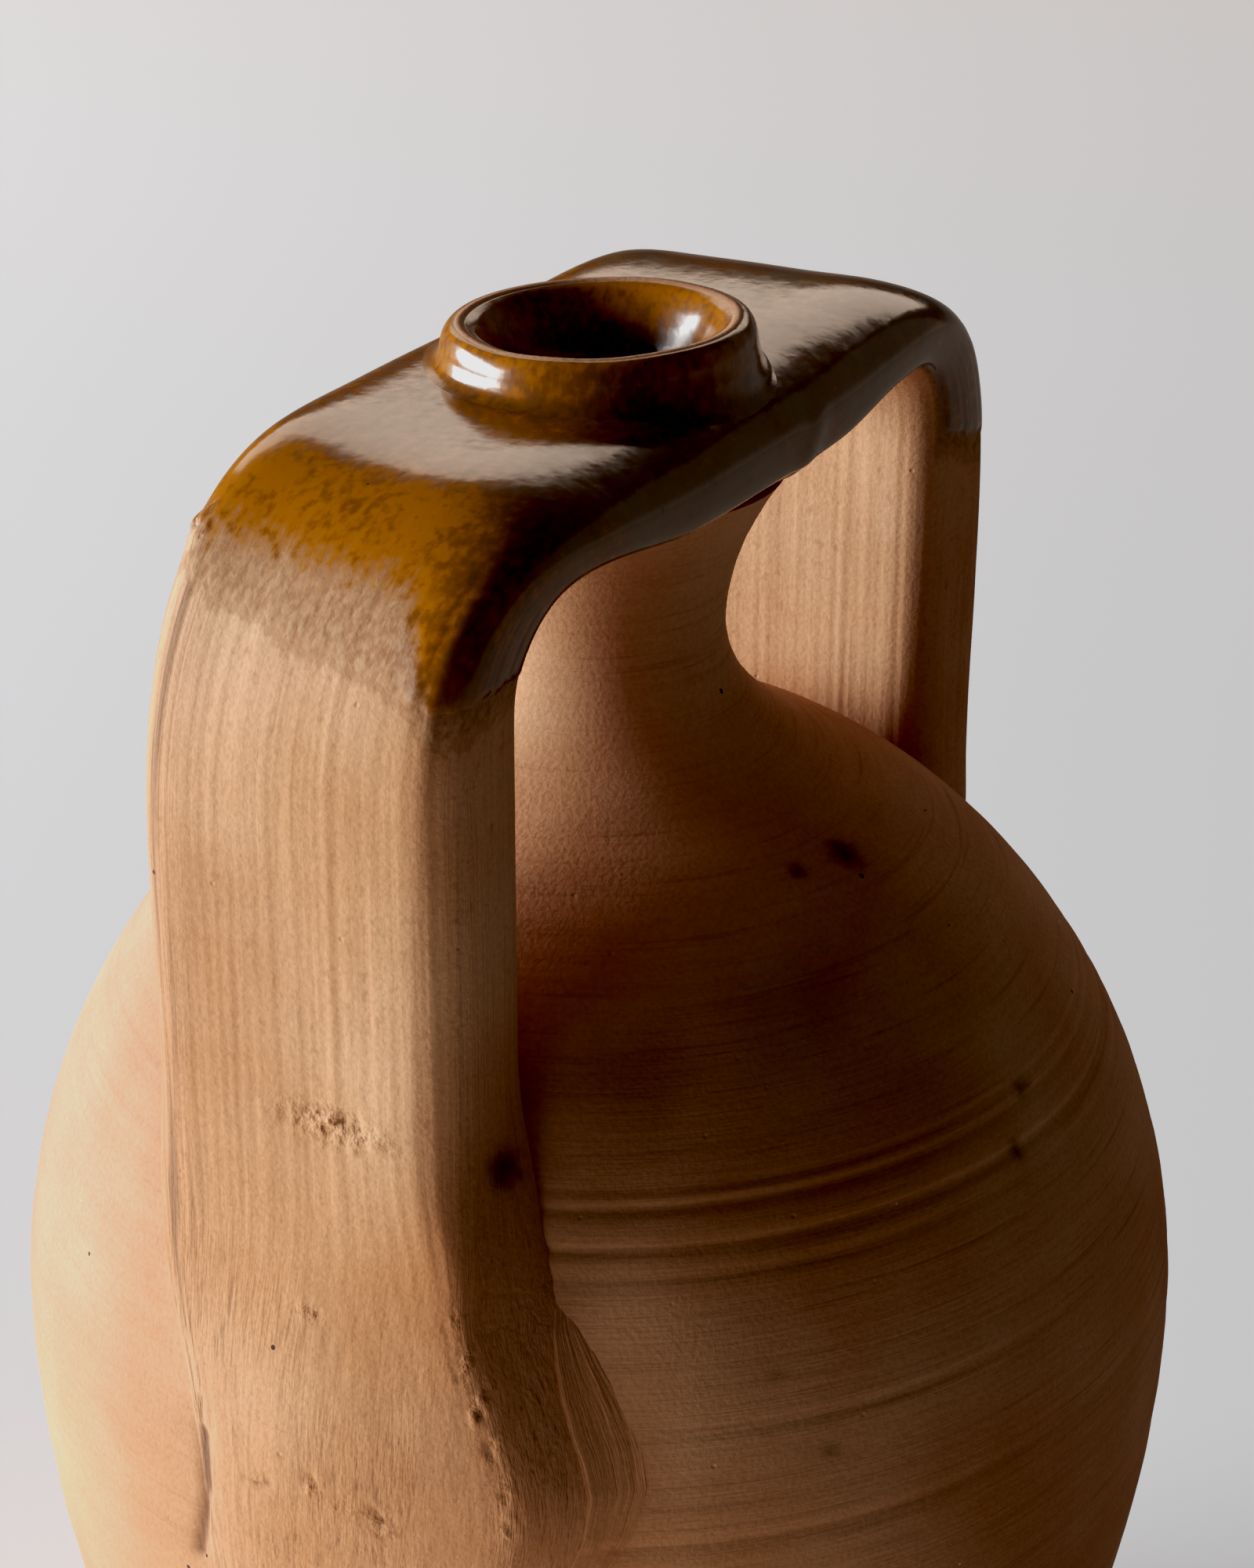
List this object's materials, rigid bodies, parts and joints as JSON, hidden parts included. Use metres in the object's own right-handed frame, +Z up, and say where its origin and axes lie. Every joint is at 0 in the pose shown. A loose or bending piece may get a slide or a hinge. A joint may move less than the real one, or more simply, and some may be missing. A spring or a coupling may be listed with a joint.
{
  "type": "terracotta amphora",
  "caption": "Wheel-thrown terracotta amphora with an ovoid body, narrow neck, low glazed collar and flat strap handles that meet round the neck as one bridge.",
  "frame": {"origin": "centre of the base's underside", "axes": "+Z up along the jar's axis, X through the two handles with the front handle on -X"},
  "size_m": [0.203, 0.1992, 0.3011],
  "materials": {
    "terracotta": "unglazed fired clay with throwing lines and drag marks",
    "smeared_terracotta": "unglazed fired clay wiped on by hand",
    "honey_glaze": "glossy honey to brown glaze, thin on edges"
  },
  "bodies": {
    "root": {"base_floor": "terracotta", "lower_wall": "terracotta", "shoulder": "terracotta", "neck": "terracotta", "collar": "terracotta", "front_strap": "terracotta", "rear_strap": "terracotta", "front_wad": "smeared_terracotta", "rear_wad": "smeared_terracotta", "collar_glaze": "honey_glaze", "mouth_glaze": "honey_glaze", "front_glaze": "honey_glaze", "rear_glaze": "honey_glaze"}
  },
  "joints": []
}
